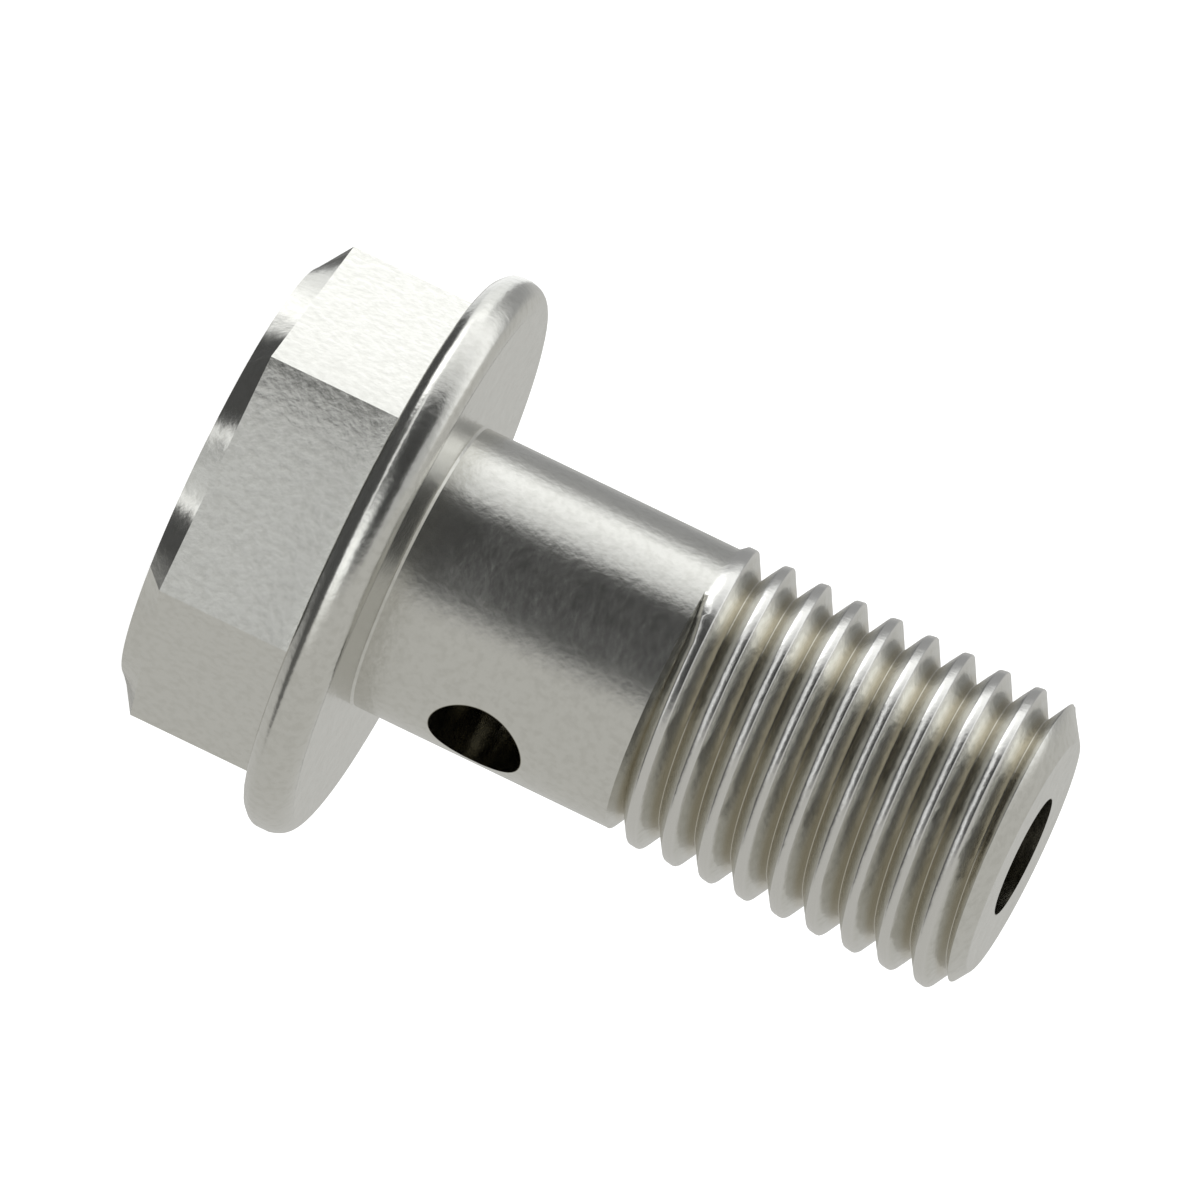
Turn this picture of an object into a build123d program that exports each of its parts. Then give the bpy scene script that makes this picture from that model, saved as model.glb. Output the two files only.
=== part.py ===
from build123d import *
import os
from math import atan2, cos, degrees, radians, sin, tan

# Banjo bolt, turned and threaded from one piece, in millimetres.
# The origin is the centre of the bearing face under the flange. +Z runs along the shank to
# the threaded tip. +X is square to two flats of the hexagon and runs along the cross hole.

# head
across_flats = 14.0
head_height = 6.9            # bearing face to the head's end, flange included
crown_height = 0.7           # where the hexagon runs out into the round end
crown_d = across_flats       # the round end just touches the flats

# flange
flange_d = 19.0
flange_thickness = 1.65
rim_chamfer = 0.42           # on the head's side
rim_round = 0.7              # on the bearing side
rim_round_cuts = 3           # short cones that make the round

# shank
shank_d = 9.6
shank_length = 8.84          # bearing face to where the thread's blank begins
shank_root_chamfer = 0.08

# thread, right-hand, 60 degrees between its flanks
thread_d = 10.0
pitch = 1.25
bolt_length = 21.0           # bearing face to the tip
crest_flat = 0.23 * pitch
flank_angle = 30.0           # each flank against a plane square to the axis
blank_step = 0.24            # slope up from the shank to the thread's outside

# run-out, where the groove leaves the metal beside the shank
groove_start_turn = -80.0    # at the shank's end, the groove is at full depth this far from +X
runout_turns = 0.12
runout_slope = 58.0          # wall of the first groove beside the shank, against the axis

# tip
tip_face_d = 7.95
tip_chamfer_length = 0.7

# fluid passages
bore_d = 4.0
bore_depth = 19.0            # full diameter, from the tip
drill_point_angle = 118.0
cross_hole_d = 3.2
cross_hole_height = 4.2      # above the bearing face

seam_turn = 52.5             # the turned faces' seam, from +X, clear of the cross hole
clearing = 1.0               # how far a cutting solid stands clear of the metal
groove_clearing = 0.08       # the same for the groove, less than its neighbour's gap

thread_r = thread_d / 2
shank_r = shank_d / 2
flank_slope = tan(radians(flank_angle))
groove_half_width = (pitch - crest_flat) / 2
groove_depth = groove_half_width / flank_slope


def turned(points):
    """The solid that a closed outline of (radius, height) points makes about Z."""
    outline = make_face((Plane.XZ * Polyline(*points, close=True)).edges())
    return revolve(outline, axis=Axis.Z)


def quarter_round(centre_r, centre_z, radius, cuts):
    """Points of a convex quarter circle, from the outermost one up to the highest."""
    angles = [radians(90 * k / cuts) for k in range(cuts + 1)]
    return [(centre_r + radius * cos(a), centre_z + radius * sin(a)) for a in angles]


def make_hexagon_head():
    """Hexagon that runs out, face by face, from its six corners to a round end."""
    crown_base = crown_height - head_height
    corner_r = across_flats / 2 / cos(radians(30))
    corner_angles = [30 + 60 * k for k in range(7)]

    corners = [Vector(corner_r, 0).rotate(Axis.Z, a) for a in corner_angles]
    hexagon = make_face([Line(a, b) for a, b in zip(corners, corners[1:])])
    round_end = make_face([CenterArc((0, 0), crown_d / 2, a, 60) for a in corner_angles[:6]])

    prism = extrude(Pos(0, 0, crown_base) * hexagon, amount=-crown_base - flange_thickness / 2)
    crown = loft([Pos(0, 0, crown_base) * hexagon, Pos(0, 0, -head_height) * round_end], ruled=True)
    return prism + crown


def make_turned_blank():
    """Flange, shank and the plain cylinder that the thread is cut into."""
    flange_r = flange_d / 2
    blank_end = bolt_length + 2 * pitch
    return Rot(0, 0, seam_turn) * turned([
        (0, -flange_thickness),
        (flange_r - rim_chamfer, -flange_thickness),
        (flange_r, rim_chamfer - flange_thickness),
        *quarter_round(flange_r - rim_round, -rim_round, rim_round, rim_round_cuts),
        (shank_r + shank_root_chamfer, 0),
        (shank_r, shank_root_chamfer),
        (shank_r, shank_length),
        (thread_r, shank_length + blank_step),
        (thread_r, blank_end),
        (0, blank_end),
    ])


def make_groove():
    """The helical groove: full turns to the tip, and a run-out that rises beside the shank."""
    mouth_half_width = groove_half_width + groove_clearing * flank_slope
    mouth_r = thread_r + groove_clearing
    section = make_face((Plane.XZ * Polyline(
        (thread_r - groove_depth, shank_length),
        (mouth_r, shank_length - mouth_half_width),
        (mouth_r, shank_length + mouth_half_width),
        close=True,
    )).edges())
    helix_height = bolt_length + pitch - shank_length
    helix = Helix(pitch, helix_height, thread_r, center=(0, 0, shank_length))
    full_turns = sweep(section, path=helix, is_frenet=True)

    # a helix that points down starts on -X, half a turn from the section
    retreat = runout_turns * pitch
    cone_angle = degrees(atan2(groove_depth + groove_clearing, retreat))
    rising_helix = Rot(0, 0, 180) * Helix(
        pitch / cos(radians(cone_angle)),
        retreat,
        thread_r,
        center=(0, 0, shank_length),
        direction=(0, 0, -1),
        cone_angle=cone_angle,
    )
    runout = sweep(section, path=rising_helix, is_frenet=True)

    # the wall of the first groove slopes in from the shank's edge
    fall = pitch * tan(radians(runout_slope))
    wall = turned([
        (0, shank_length - pitch),
        (shank_r + fall, shank_length - pitch),
        (shank_r - fall, shank_length + pitch),
        (0, shank_length + pitch),
    ])
    return Rot(0, 0, groove_start_turn) * (full_turns + runout) - wall


def make_tip_cutter():
    """All that lies outside the chamfer and past the tip's face."""
    tip_r = tip_face_d / 2
    outer_r = thread_r + clearing
    chamfer_reach = tip_chamfer_length * (outer_r - tip_r) / (thread_r - tip_r)
    past_blank = bolt_length + 2 * pitch + clearing
    return turned([
        (0, bolt_length),
        (tip_r, bolt_length),
        (outer_r, bolt_length - chamfer_reach),
        (outer_r, past_blank),
        (0, past_blank),
    ])


def make_bore():
    """Blind bore from the tip, ending in the cone that a drill leaves."""
    bore_r = bore_d / 2
    shoulder = bolt_length - bore_depth
    return turned([
        (0, bolt_length + clearing),
        (bore_r, bolt_length + clearing),
        (bore_r, shoulder),
        (0, shoulder - bore_r / tan(radians(drill_point_angle / 2))),
    ])


def make_cross_hole():
    """Drilled right through the shank, through both walls of the bore."""
    drill = Cylinder(cross_hole_d / 2, shank_d + 2 * clearing)
    return Pos(0, 0, cross_hole_height) * Rot(0, 90, 0) * drill


def make_banjo_bolt():
    threaded = make_turned_blank() - make_groove() - make_tip_cutter()
    drilled = threaded - make_bore() - make_cross_hole()
    return drilled + make_hexagon_head()


os.makedirs("parts", exist_ok=True)
export_step(make_banjo_bolt(), "parts/banjo_bolt.step")
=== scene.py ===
import math
import bmesh
import bpy
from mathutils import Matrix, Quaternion, Vector


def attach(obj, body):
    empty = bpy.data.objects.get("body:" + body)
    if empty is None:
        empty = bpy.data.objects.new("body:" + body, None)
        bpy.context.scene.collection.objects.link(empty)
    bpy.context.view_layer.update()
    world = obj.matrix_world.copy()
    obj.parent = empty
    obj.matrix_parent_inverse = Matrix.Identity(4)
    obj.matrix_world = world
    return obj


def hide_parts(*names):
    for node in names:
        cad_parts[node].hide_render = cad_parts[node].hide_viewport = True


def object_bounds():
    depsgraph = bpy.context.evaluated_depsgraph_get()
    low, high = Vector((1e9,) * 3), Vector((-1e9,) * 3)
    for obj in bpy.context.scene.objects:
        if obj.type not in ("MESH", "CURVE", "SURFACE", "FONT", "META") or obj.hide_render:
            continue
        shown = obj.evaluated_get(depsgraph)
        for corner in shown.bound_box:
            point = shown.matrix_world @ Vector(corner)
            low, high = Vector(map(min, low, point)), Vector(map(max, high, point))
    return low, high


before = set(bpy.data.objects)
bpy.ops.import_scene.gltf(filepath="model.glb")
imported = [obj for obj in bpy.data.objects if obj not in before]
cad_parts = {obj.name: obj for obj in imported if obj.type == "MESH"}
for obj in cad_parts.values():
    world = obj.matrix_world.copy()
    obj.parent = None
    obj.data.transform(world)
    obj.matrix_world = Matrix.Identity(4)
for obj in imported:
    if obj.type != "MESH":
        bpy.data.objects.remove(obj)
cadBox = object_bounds()
print("frame loaded")

scene = bpy.context.scene
scene.view_settings.view_transform = "Standard"
scene.view_settings.look = "None"


def linkNodes(tree, source, output, target, entry):
    tree.links.new(source.outputs[output], target.inputs[entry])


def addNode(tree, kind, **settings):
    node = tree.nodes.new(kind)
    for name, value in settings.items():
        if hasattr(node, name):
            setattr(node, name, value)
        else:
            node.inputs[name].default_value = value
    return node


def ramp(tree, source, span, first=0, second=1, smooth=True):
    # first at the span's first value, second at its second, whichever of the two is larger
    kind = "SMOOTHSTEP" if smooth else "LINEAR"
    step = addNode(tree, "ShaderNodeMapRange", interpolation_type=kind)
    if span[0] > span[1]:
        first, second = second, first
    step.inputs["From Min"].default_value = min(span)
    step.inputs["From Max"].default_value = max(span)
    tree.links.new(source, step.inputs["Value"])
    for entry, value in (("To Min", first), ("To Max", second)):
        if isinstance(value, (int, float)):
            step.inputs[entry].default_value = value
        else:
            tree.links.new(value, step.inputs[entry])
    return step.outputs["Result"]


def blend(tree, factor, first, second):
    mix = addNode(tree, "ShaderNodeMix", data_type="RGBA")
    tree.links.new(factor, mix.inputs["Factor"])
    for entry, colour in (("A", first), ("B", second)):
        if isinstance(colour, tuple):
            mix.inputs[entry].default_value = colour
        else:
            tree.links.new(colour, mix.inputs[entry])
    return mix.outputs["Result"]


# satin nickel on turned steel
nickel = {
    "colour": (0.66, 0.652, 0.608, 1),
    "roughness": (0.17, 0.29),
    "cloudsPerMetre": 1300,
    "cloudDetail": 4,
    "cloudGrain": 0.6,
    "cloudBump": 0.000007,
    "speckleColour": (0.615, 0.607, 0.562, 1),
    "specklesPerMetre": 3600,
    "speckleDetail": 2,
    "speckleGrain": 0.5,
    "speckles": (0.40, 0.70),
    "speckleBump": 0.00001,
    # painted shade: a darker olive standing for the shade deep in the thread's grooves
    "grooveShadeColour": (0.53, 0.503, 0.425, 1),
    "groove": (0.00432, 0.00462),   # radii between which the painted groove shade fades out
    # painted highlight: a lighter tone standing for the shine on the thread's crests
    "crestHighlightColour": (0.70, 0.69, 0.655, 1),
    "crest": (0.00478, 0.00496),    # radii between which the painted crest highlight comes in
    "threadStart": (0.0087, 0.0091),
    "threadEnd": (0.0202, 0.0206),
    # painted shade: a dark tone standing for the shade inside the cross hole and the bore
    "holeShadeColour": (0.30, 0.285, 0.23, 1),
    "crossHole": (0.00161, 0.00163),
    "crossHoleHeight": 0.0042,
    "bore": (0.00201, 0.00203),
    "boreEnd": 0.0001,              # nothing but the bore is near the axis above this
}


def distanceFrom(tree, place, centre, axes):
    # how far a point is from the centre, along these axes only
    offset = addNode(tree, "ShaderNodeVectorMath", operation="SUBTRACT")
    flat = addNode(tree, "ShaderNodeVectorMath", operation="MULTIPLY")
    length = addNode(tree, "ShaderNodeVectorMath", operation="LENGTH")
    offset.inputs[1].default_value = centre
    flat.inputs[1].default_value = axes
    linkNodes(tree, place, "Object", offset, 0)
    linkNodes(tree, offset, "Vector", flat, 0)
    linkNodes(tree, flat, "Vector", length, 0)
    return length.outputs["Value"]


# the nickel's own tone with random speckles, plus painted shade in the grooves and holes and a
# painted highlight on the crests
def nickelWithPaintedLight(tree, place, speckle):
    spots = ramp(tree, speckle.outputs["Fac"], nickel["speckles"])
    plain = blend(tree, spots, nickel["colour"], nickel["speckleColour"])
    axes = addNode(tree, "ShaderNodeSeparateXYZ")
    linkNodes(tree, place, "Object", axes, "Vector")
    height = axes.outputs["Z"]
    radius = distanceFrom(tree, place, (0, 0, 0), (1, 1, 0))

    # painted shade in the grooves and a painted highlight on the crests, on the thread only
    dimmer = blend(tree, ramp(tree, radius, nickel["groove"]), nickel["grooveShadeColour"], plain)
    highlightedCrests = blend(tree, ramp(tree, radius, nickel["crest"]), dimmer, nickel["crestHighlightColour"])
    started = blend(tree, ramp(tree, height, nickel["threadStart"]), plain, highlightedCrests)
    threadShadeAndHighlight = blend(tree, ramp(tree, height, nickel["threadEnd"]), started, plain)

    # painted shade inside the cross hole and the bore
    fromHole = distanceFrom(tree, place, (0, 0, nickel["crossHoleHeight"]), (0, 1, 1))
    holeShaded = blend(tree, ramp(tree, fromHole, nickel["crossHole"]), nickel["holeShadeColour"], threadShadeAndHighlight)
    above = addNode(tree, "ShaderNodeMath", operation="GREATER_THAN")
    above.inputs[1].default_value = nickel["boreEnd"]
    tree.links.new(height, above.inputs[0])
    inBore = ramp(tree, radius, nickel["bore"], above.outputs["Value"], 0)
    return blend(tree, inBore, holeShaded, nickel["holeShadeColour"])


def makeNickel():
    material = bpy.data.materials.new("satinNickel")
    material.use_nodes = True
    tree = material.node_tree
    shader = tree.nodes["Principled BSDF"]
    shader.inputs["Metallic"].default_value = 1

    place = addNode(tree, "ShaderNodeTexCoord")
    clouds = addNode(
        tree, "ShaderNodeTexNoise", Scale=nickel["cloudsPerMetre"],
        Detail=nickel["cloudDetail"], Roughness=nickel["cloudGrain"])
    speckle = addNode(
        tree, "ShaderNodeTexNoise", Scale=nickel["specklesPerMetre"],
        Detail=nickel["speckleDetail"], Roughness=nickel["speckleGrain"])
    for texture in (clouds, speckle):
        linkNodes(tree, place, "Object", texture, "Vector")

    tree.links.new(nickelWithPaintedLight(tree, place, speckle), shader.inputs["Base Color"])
    shiny, dimmer = nickel["roughness"]
    cloudy = ramp(tree, clouds.outputs["Fac"], (0, 1), shiny, dimmer, smooth=False)
    tree.links.new(cloudy, shader.inputs["Roughness"])

    cloudRelief = addNode(tree, "ShaderNodeBump", Strength=1, Distance=nickel["cloudBump"])
    speckleRelief = addNode(tree, "ShaderNodeBump", Strength=1, Distance=nickel["speckleBump"])
    linkNodes(tree, clouds, "Fac", cloudRelief, "Height")
    linkNodes(tree, speckle, "Fac", speckleRelief, "Height")
    linkNodes(tree, cloudRelief, "Normal", speckleRelief, "Normal")
    linkNodes(tree, speckleRelief, "Normal", shader, "Normal")
    return material


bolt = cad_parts["banjo_bolt"]
satinNickel = makeNickel()
for materialSlot in bolt.material_slots:
    materialSlot.material = satinNickel

# the solid's own form, with the small roundings that tools and plating leave on its edges;
# an edge is rounded where it is sharper than so many degrees and within the radii and heights
skin = {
    "mergeWithin": 0.0000005,
    "facetsWithin": 14,      # degrees between two triangles of one smooth surface
    "anyShape": 90,
    "smoothWithin": 40,
    "preferFlats": 75,       # how far large faces decide the shading at their corners
    "rim": {
        "sharper": 20, "radii": (0.0085, 0.0096), "heights": (-0.0017, 0.0001),
        "width": 0.00017, "steps": 3},
    "roots": {
        "sharper": 26, "radii": (0.0040, 0.0044), "heights": (0.0093, 0.0205),
        "width": 0.00007, "steps": 3},
    "crests": {
        "sharper": 26, "radii": (0.0044, 0.0051), "heights": (0.0091, 0.0206),
        "width": 0.00004, "steps": 2},
    "tip": {
        "sharper": 26, "radii": (0.0038, 0.0051), "heights": (0.02095, 0.0211),
        "width": 0.00004, "steps": 2},
    "tilt": 0.000045,        # how much lower a crest is on the head's side
    "tiltHeights": (0.0093, 0.0098, 0.0199, 0.0204),
    "headward": -0.5,        # normals below this belong to flanks that face the head
}

head = {
    "sides": 6,
    "acrossFlats": 0.014,
    "firstCorner": 30,       # degrees round from X
    "cornerSlack": 0.01,
    "flange": -0.00165,
    "flangeSlack": 0.00001,
    "crown": -0.0062,
    "end": -0.0069,
    "strips": 16,            # on each side of the crown
}


def selectEdges(piece, name):
    choice = skin[name]
    near, far = choice["radii"]
    low, high = choice["heights"]
    bpy.ops.object.mode_set(mode="EDIT")
    bpy.ops.mesh.select_mode(type="EDGE")
    bpy.ops.mesh.select_all(action="DESELECT")
    bpy.ops.mesh.edges_select_sharp(sharpness=math.radians(choice["sharper"]))

    def isThere(point):
        return near < math.hypot(point.co.x, point.co.y) < far and low < point.co.z < high

    mesh = bmesh.from_edit_mesh(piece.data)
    for edge in mesh.edges:
        if edge.select and not all(isThere(point) for point in edge.verts):
            edge.select_set(False)
    bmesh.update_edit_mesh(piece.data)
    return choice


def tiltCrests(piece):
    # the crests rise a little towards the tip, less so at the thread's two ends
    selectEdges(piece, "crests")
    mesh = bmesh.from_edit_mesh(piece.data)
    lowered = set()
    for edge in mesh.edges:
        if edge.select and min(face.normal.z for face in edge.link_faces) < skin["headward"]:
            lowered.update(edge.verts)
    start, full, fading, end = skin["tiltHeights"]
    for point in lowered:
        height = point.co.z
        part = max(0, min(1, (height - start) / (full - start), (end - height) / (end - fading)))
        inward = Vector((point.co.x, point.co.y, 0)).normalized()
        point.co -= inward * skin["tilt"] * part
    bmesh.update_edit_mesh(piece.data)
    bpy.ops.object.mode_set(mode="OBJECT")
    print("crests tilted at", len(lowered), "points")


def roundEdges(piece, name):
    choice = selectEdges(piece, name)
    bpy.ops.mesh.bevel(offset=choice["width"], segments=choice["steps"], affect="EDGES")
    bpy.ops.object.mode_set(mode="OBJECT")
    print("rounded", name)


def headRings():
    # the crown's two outlines, from the first corner round
    sides, strips = head["sides"], head["strips"]
    flatRadius = head["acrossFlats"] / 2
    cornerRadius = flatRadius / math.cos(math.pi / sides)

    def onCircle(radius, side, height):
        turn = math.radians(head["firstCorner"] + 360 / sides * side)
        return Vector((radius * math.cos(turn), radius * math.sin(turn), height))

    hexagon, circle = [], []
    for k in range(sides):
        first = onCircle(cornerRadius, k, head["crown"])
        last = onCircle(cornerRadius, k + 1, head["crown"])
        for j in range(strips):
            hexagon.append(first.lerp(last, j / strips))
            circle.append(onCircle(flatRadius, k + j / strips, head["end"]))
    return hexagon, circle


def remakeHead(piece):
    # even strips from the hexagon to the round end, in place of the solid's slivers
    sides, strips = head["sides"], head["strips"]
    bpy.ops.object.mode_set(mode="EDIT")
    mesh = bmesh.from_edit_mesh(piece.data)
    level = head["flange"] - head["flangeSlack"]
    old = [face for face in mesh.faces if min(point.co.z for point in face.verts) < level]
    bmesh.ops.delete(mesh, geom=old, context="FACES")

    def pastCorner(point):
        turn = math.degrees(math.atan2(point.co.y, point.co.x))
        return (turn - head["firstCorner"] + head["cornerSlack"]) % 360

    hole = sorted((point for point in mesh.verts if point.is_boundary), key=pastCorner)
    borders = [[] for _ in range(sides)]
    for point in hole:
        borders[int(pastCorner(point) * sides // 360)].append(point)

    hexagon, circle = ([mesh.verts.new(place) for place in ring] for ring in headRings())
    count = len(circle)
    for k in range(sides):
        top = borders[k] + borders[(k + 1) % sides][:1]
        bottom = [hexagon[n % count] for n in range(k * strips, (k + 1) * strips + 1)]
        mesh.faces.new(top + bottom[::-1])
    for n in range(count):
        after = (n + 1) % count
        mesh.faces.new((hexagon[n], hexagon[after], circle[after], circle[n]))
        sharp = [(hexagon[n], hexagon[after]), (circle[n], circle[after])]
        if n % strips == 0:
            sharp.append((hexagon[n], circle[n]))
        for pair in sharp:
            mesh.edges.get(pair).smooth = False
    mesh.faces.new(circle)
    bmesh.update_edit_mesh(piece.data)
    bpy.ops.mesh.select_all(action="SELECT")
    bpy.ops.mesh.normals_make_consistent(inside=False)
    bpy.ops.object.mode_set(mode="OBJECT")


def makeSkin():
    bpy.ops.object.select_all(action="DESELECT")
    bolt.select_set(True)
    bpy.context.view_layer.objects.active = bolt
    bpy.ops.object.duplicate()
    piece = bpy.context.object
    piece.name = "platedBolt"
    if piece.data.has_custom_normals:
        bpy.ops.mesh.customdata_custom_splitnormals_clear()
    bpy.ops.object.mode_set(mode="EDIT")
    bpy.ops.mesh.select_all(action="SELECT")
    bpy.ops.mesh.remove_doubles(threshold=skin["mergeWithin"])
    bpy.ops.object.mode_set(mode="OBJECT")
    remakeHead(piece)
    bpy.ops.object.mode_set(mode="EDIT")
    bpy.ops.mesh.tris_convert_to_quads(
        face_threshold=math.radians(skin["facetsWithin"]),
        shape_threshold=math.radians(skin["anyShape"]))
    bpy.ops.object.mode_set(mode="OBJECT")
    tiltCrests(piece)
    for name in ("rim", "roots", "crests", "tip"):
        roundEdges(piece, name)

    bpy.ops.object.shade_smooth_by_angle(angle=math.radians(skin["smoothWithin"]))
    weigh = piece.modifiers.new("flats", "WEIGHTED_NORMAL")
    weigh.keep_sharp = True
    weigh.weight = skin["preferFlats"]
    bpy.ops.object.modifier_apply(modifier="flats")
    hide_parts("banjo_bolt")
    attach(piece, "root")
    print("skin", len(piece.data.polygons), "faces", len(piece.data.vertices), "points")


makeSkin()
print("nickel on the bolt")

# the photo lies on its side: the bolt's axis points right and down in it
photo = {
    "azimuth": 28.65,
    "elevation": 7.0,
    "roll": 115.707,
    "lookAt": (-0.001625, -0.000124, 0.005457),
    "width": 0.03736,
    "distance": 0.8,
    "sees": (0.01, 5),
}


def photoTurn():
    azimuth, elevation = math.radians(photo["azimuth"]), math.radians(photo["elevation"])
    back = Vector((
        math.sin(azimuth) * math.cos(elevation),
        -math.cos(azimuth) * math.cos(elevation),
        math.sin(elevation),
    ))
    level = (-back).to_track_quat("-Z", "Y")
    return back, level @ Quaternion((0, 0, 1), math.radians(photo["roll"]))


def makeCamera():
    back, turn = photoTurn()
    lens = bpy.data.cameras.new("camera")
    lens.type = "ORTHO"
    lens.ortho_scale = photo["width"]
    lens.clip_start, lens.clip_end = photo["sees"]
    camera = bpy.data.objects.new("camera", lens)
    camera.location = Vector(photo["lookAt"]) + back * photo["distance"]
    camera.rotation_mode = "QUATERNION"
    camera.rotation_quaternion = turn
    scene.collection.objects.link(camera)
    scene.camera = camera


makeCamera()
print("camera in place")

studio = {
    "floorSize": 6,
    "floorColour": (0.93, 0.93, 0.93, 1),
    "floorTint": (0.25, 0.25, 0.25, 1),
    "floorRoughness": 0.9,
    "floorGlow": 1.0,        # evens out the shadow under the bolt
    "floorLamp": 1.6,
    "floorLampAngle": 60,
}


def makeFloor():
    bpy.ops.object.select_all(action="DESELECT")
    bpy.ops.mesh.primitive_plane_add(size=studio["floorSize"], location=(0, 0, cadBox[0].z))
    floor = bpy.context.object
    floor.name = "floor"
    floor.visible_glossy = False
    material = bpy.data.materials.new("paleFloor")
    material.use_nodes = True
    shader = material.node_tree.nodes["Principled BSDF"]
    shader.inputs["Base Color"].default_value = studio["floorTint"]
    shader.inputs["Roughness"].default_value = studio["floorRoughness"]
    shader.inputs["Emission Color"].default_value = studio["floorColour"]
    shader.inputs["Emission Strength"].default_value = studio["floorGlow"]
    floor.data.materials.append(material)


def makeFloorLamp():
    sun = bpy.data.lights.new("floorLamp", "SUN")
    sun.energy = studio["floorLamp"]
    sun.angle = math.radians(studio["floorLampAngle"])
    lamp = bpy.data.objects.new("floorLamp", sun)
    lamp.visible_glossy = False
    scene.collection.objects.link(lamp)


makeFloor()
makeFloorLamp()

# what the nickel mirrors, laid out in the photo's own right, up and toward-the-viewer directions;
# a pair of numbers says between which directions one brightness passes into the next
room = {
    "ground": 0.61,
    "horizonSlope": 0.25,    # the ground climbs behind the bolt
    "horizon": (-0.16, 0.28),
    "backdrop": 0.37,
    "ceilingFrom": (-0.62, -0.24),
    "ceiling": 1.45,
    "ceilingFront": 0.72,
    "ceilingFade": (-0.20, 0.44),
    "ceilingTo": (0.34, 0.52),
    "dark": 0.06,
    "leftWall": 0.09,
    "leftWallSlope": 0.38,
    "leftWallAbove": (0.12, -0.03),
    "leftWallBelow": (-0.46, -0.60),
    "lowWall": 0.12,
    "lowWallFrom": (-0.42, -0.12),
    "stripsFrom": (0.15, 0.40),
    "leftStrip": 1.25,
    "leftStripEdges": ((-0.29, -0.39), (-0.47, -0.60)),
    "rightStrip": 0.6,
    "rightStripEdge": (0.44, 0.58),
    "keyDirection": (-0.19, 0.977, -0.095),
    "keyWidth": (0.93, 0.98),
    "key": 2.2,
    "groundTint": (1.0, 0.998, 0.975, 1),
    "roomTint": (0.985, 1.0, 1.02, 1),
}

# small cards that only the head and the rim mirror: turn is in degrees round the bolt, from the
# top of the photo towards the viewer, and heights are along the bolt
cardColour = (0.965, 0.985, 1.0)
cards = {
    "top": {
        "turn": -27, "away": 0.018, "heights": (-0.0125, -0.0020), "width": 0.020,
        "brightness": 0.77, "spread": 180},
    "front": {
        "turn": 104, "away": 0.018, "heights": (-0.0125, -0.0026), "width": 0.0148,
        "brightness": 0.148, "spread": 80},
    "rim": {
        "turn": 93, "away": 0.0125, "heights": (-0.0020, -0.0010), "width": 0.026,
        "brightness": 0.17, "spread": 60},
}


def makeWorld():
    world = bpy.data.worlds.new("studio")
    world.use_nodes = True
    tree = world.node_tree
    place = addNode(tree, "ShaderNodeTexCoord")
    turned = addNode(tree, "ShaderNodeMapping", vector_type="VECTOR")
    turned.inputs["Rotation"].default_value = photoTurn()[1].inverted().to_euler("XYZ")
    axes = addNode(tree, "ShaderNodeSeparateXYZ")
    linkNodes(tree, place, "Generated", turned, "Vector")
    linkNodes(tree, turned, "Vector", axes, "Vector")
    toward = axes.outputs["Z"]

    def facing(direction):
        share = addNode(tree, "ShaderNodeVectorMath", operation="DOT_PRODUCT")
        share.inputs[1].default_value = direction
        linkNodes(tree, turned, "Vector", share, 0)
        return share.outputs["Value"]

    front = ramp(
        tree, toward, room["ceilingFade"], room["ceiling"], room["ceilingFront"], smooth=False)
    overhead = ramp(tree, toward, room["ceilingFrom"], room["backdrop"], front)
    above = ramp(tree, toward, room["ceilingTo"], overhead, room["dark"])
    leftward = facing((1, room["leftWallSlope"], 0))
    above = ramp(tree, leftward, room["leftWallAbove"], above, room["leftWall"])

    # two bright strips beside the dark one, by how far a direction leans along the bolt
    along = addNode(tree, "ShaderNodeSeparateXYZ")
    linkNodes(tree, place, "Generated", along, "Vector")
    lean = along.outputs["Z"]
    near, far = room["leftStripEdges"]
    strips = ramp(tree, lean, near, above, room["leftStrip"])
    strips = ramp(tree, lean, far, strips, room["leftWall"])
    strips = ramp(tree, lean, room["rightStripEdge"], strips, room["rightStrip"])
    above = ramp(tree, toward, room["stripsFrom"], above, strips)

    nearKey = facing(Vector(room["keyDirection"]).normalized())
    above = ramp(tree, nearKey, room["keyWidth"], above, room["key"])

    height = facing((0, 1, room["horizonSlope"]))
    lowWall = ramp(tree, toward, room["lowWallFrom"], room["ground"], room["lowWall"])
    ground = ramp(tree, lean, room["leftWallBelow"], room["ground"], lowWall)
    light = ramp(tree, height, room["horizon"], ground, above)
    tint = blend(tree, ramp(tree, height, room["horizon"]), room["groundTint"], room["roomTint"])
    background = tree.nodes["Background"]
    tree.links.new(light, background.inputs["Strength"])
    tree.links.new(tint, background.inputs["Color"])
    scene.world = world


def makeCard(name):
    choice = cards[name]
    low, high = choice["heights"]
    back, _ = photoTurn()
    toward = (back - Vector((0, 0, back.z))).normalized()
    upward = toward.cross(Vector((0, 0, 1)))
    angle = math.radians(choice["turn"])
    outward = math.cos(angle) * upward + math.sin(angle) * toward
    light = bpy.data.lights.new(name + "Card", "AREA")
    light.shape = "RECTANGLE"
    light.size = choice["width"]
    light.size_y = high - low
    light.energy = choice["brightness"] * math.pi * light.size * light.size_y
    light.color = cardColour
    light.spread = math.radians(choice["spread"])
    card = bpy.data.objects.new(name + "Card", light)
    card.location = outward * choice["away"] + Vector((0, 0, (low + high) / 2))
    card.rotation_mode = "QUATERNION"
    card.rotation_quaternion = outward.to_track_quat("Z", "Y")
    card.visible_camera = False
    card.visible_diffuse = False
    scene.collection.objects.link(card)


makeWorld()
for name in cards:
    makeCard(name)
print("studio lit")
